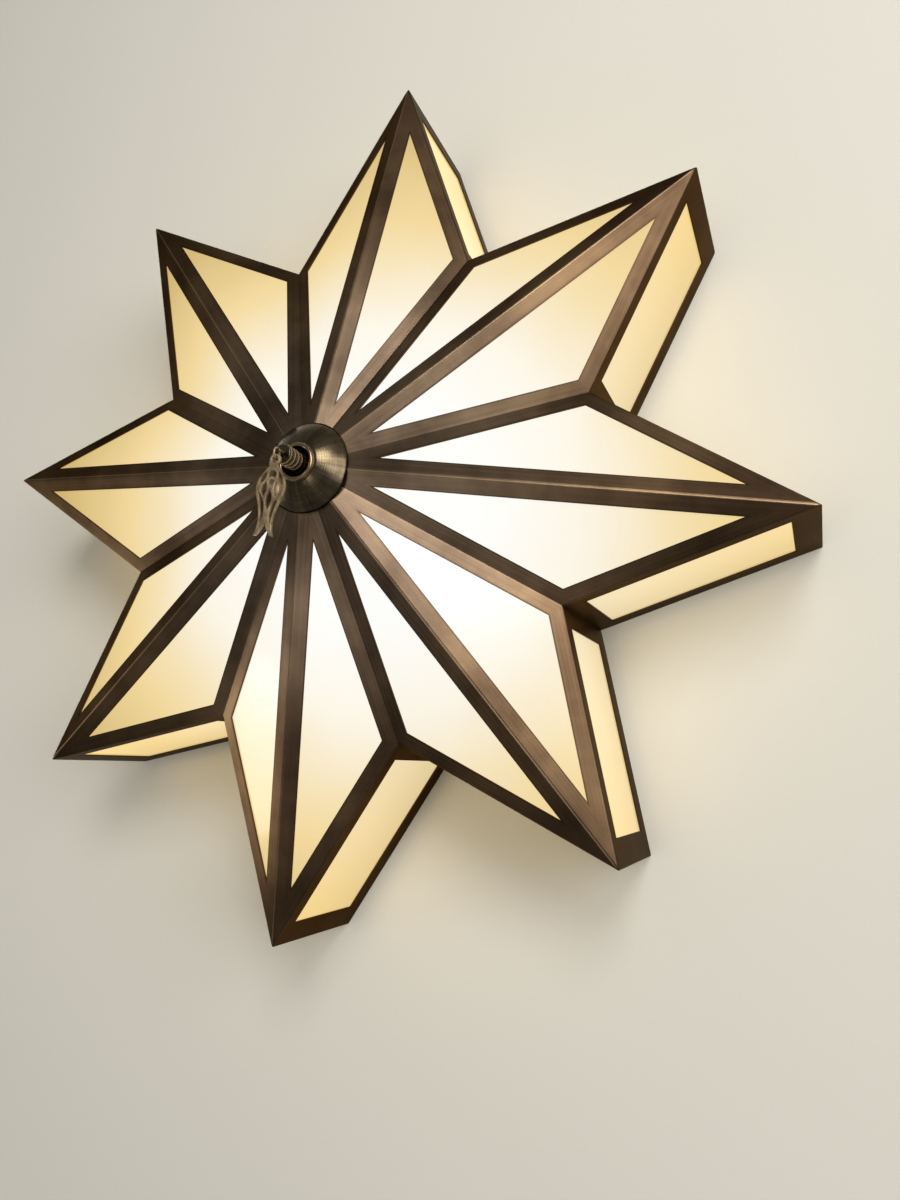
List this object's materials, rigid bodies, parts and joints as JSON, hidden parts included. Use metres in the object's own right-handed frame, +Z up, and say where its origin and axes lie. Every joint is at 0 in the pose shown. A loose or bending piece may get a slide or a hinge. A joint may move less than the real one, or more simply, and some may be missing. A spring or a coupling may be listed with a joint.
{
  "type": "star flush mount light",
  "caption": "Faceted star light for a wall or ceiling: folded brass arms with opal glass panes, a spun cap and a ringed finial nut with a hanging openwork drop.",
  "frame": {"origin": "centre of the star in the plane of the wall or ceiling that it is fixed to", "axes": "+Z up along one arm, +Y into the wall or ceiling, +X to the right seen from the room; the star faces -Y"},
  "size_m": [0.6, 0.1854, 0.6],
  "materials": {
    "antique_brass": "brushed brass sheet with a dark antique patina, worn bright along the folds",
    "opal_glass": "glossy opal glass, lit from behind",
    "dark_brass": "spun and turned brass with a dark glossy patina",
    "pale_brass": "cast brass, rubbed pale on the high parts",
    "rod_brass": "threaded brass tube",
    "zinc_steel": "zinc-plated pressed steel",
    "black_rubber": "moulded black rubber",
    "white_plastic": "moulded natural white plastic",
    "holder_plastic": "moulded black heat-proof plastic",
    "bulb_globe": "white diffusing globe on a plated screw cap"
  },
  "bodies": {
    "mount": {"wall_pan": "zinc_steel", "cable_grommet": "black_rubber", "terminal_block": "white_plastic", "centre_rod": "rod_brass", "rod_lock_nuts": "zinc_steel", "lamp_bracket": "zinc_steel", "lampholder_1": "holder_plastic", "lampholder_2": "holder_plastic", "lampholder_3": "holder_plastic", "lampholder_4": "holder_plastic"},
    "shade": {"star_arm_1": "antique_brass", "star_arm_2": "antique_brass", "star_arm_3": "antique_brass", "star_arm_4": "antique_brass", "star_arm_5": "antique_brass", "star_arm_6": "antique_brass", "star_arm_7": "antique_brass", "star_arm_8": "antique_brass", "front_pane_1_left": "opal_glass", "front_pane_1_right": "opal_glass", "front_pane_2_left": "opal_glass", "front_pane_2_right": "opal_glass", "front_pane_3_left": "opal_glass", "front_pane_3_right": "opal_glass", "front_pane_4_left": "opal_glass", "front_pane_4_right": "opal_glass", "front_pane_5_left": "opal_glass", "front_pane_5_right": "opal_glass", "front_pane_6_left": "opal_glass", "front_pane_6_right": "opal_glass", "front_pane_7_left": "opal_glass", "front_pane_7_right": "opal_glass", "front_pane_8_left": "opal_glass", "front_pane_8_right": "opal_glass", "side_pane_1_left": "opal_glass", "side_pane_1_right": "opal_glass", "side_pane_2_left": "opal_glass", "side_pane_2_right": "opal_glass", "side_pane_3_left": "opal_glass", "side_pane_3_right": "opal_glass", "side_pane_4_left": "opal_glass", "side_pane_4_right": "opal_glass", "side_pane_5_left": "opal_glass", "side_pane_5_right": "opal_glass", "side_pane_6_left": "opal_glass", "side_pane_6_right": "opal_glass", "side_pane_7_left": "opal_glass", "side_pane_7_right": "opal_glass", "side_pane_8_left": "opal_glass", "side_pane_8_right": "opal_glass", "pane_clips": "antique_brass", "hub_collar": "antique_brass", "cap": "dark_brass"},
    "finial": {"finial_nut": "dark_brass"},
    "ring": {"drop_ring": "pale_brass"},
    "drop": {"drop": "pale_brass"},
    "bulb_1": {"bulb_1": "bulb_globe"},
    "bulb_2": {"bulb_2": "bulb_globe"},
    "bulb_3": {"bulb_3": "bulb_globe"},
    "bulb_4": {"bulb_4": "bulb_globe"}
  },
  "joints": [
    {"name": "shade_slide", "type": "slide", "parent": "mount", "child": "shade", "axis": [0, -1, 0], "range_m": [0, 0.012]},
    {"name": "finial_turn", "type": "hinge", "parent": "shade", "child": "finial", "pos_m": [0, -0.154, 0], "axis": [0, -1, 0], "range_deg": [0, 4320.4]},
    {"name": "ring_swing", "type": "hinge", "parent": "finial", "child": "ring", "pos_m": [0, -0.1818, 0], "axis": [-1, 0, 0], "range_deg": [-30, 90]},
    {"name": "drop_swing", "type": "hinge", "parent": "ring", "child": "drop", "pos_m": [0, -0.1818, -0.0043], "axis": [0, -1, 0], "range_deg": [-45, 45]},
    {"name": "bulb_1_out", "type": "slide", "parent": "mount", "child": "bulb_1", "axis": [0, 0, 1], "range_m": [0, 0.022]},
    {"name": "bulb_2_out", "type": "slide", "parent": "mount", "child": "bulb_2", "axis": [1, 0, 0], "range_m": [0, 0.022]},
    {"name": "bulb_3_out", "type": "slide", "parent": "mount", "child": "bulb_3", "axis": [0, 0, -1], "range_m": [0, 0.022]},
    {"name": "bulb_4_out", "type": "slide", "parent": "mount", "child": "bulb_4", "axis": [-1, 0, 0], "range_m": [0, 0.022]}
  ],
  "couplings": [
    {"joint": "finial_turn", "follows": "shade_slide", "rad_per_m": 6283.2}
  ]
}
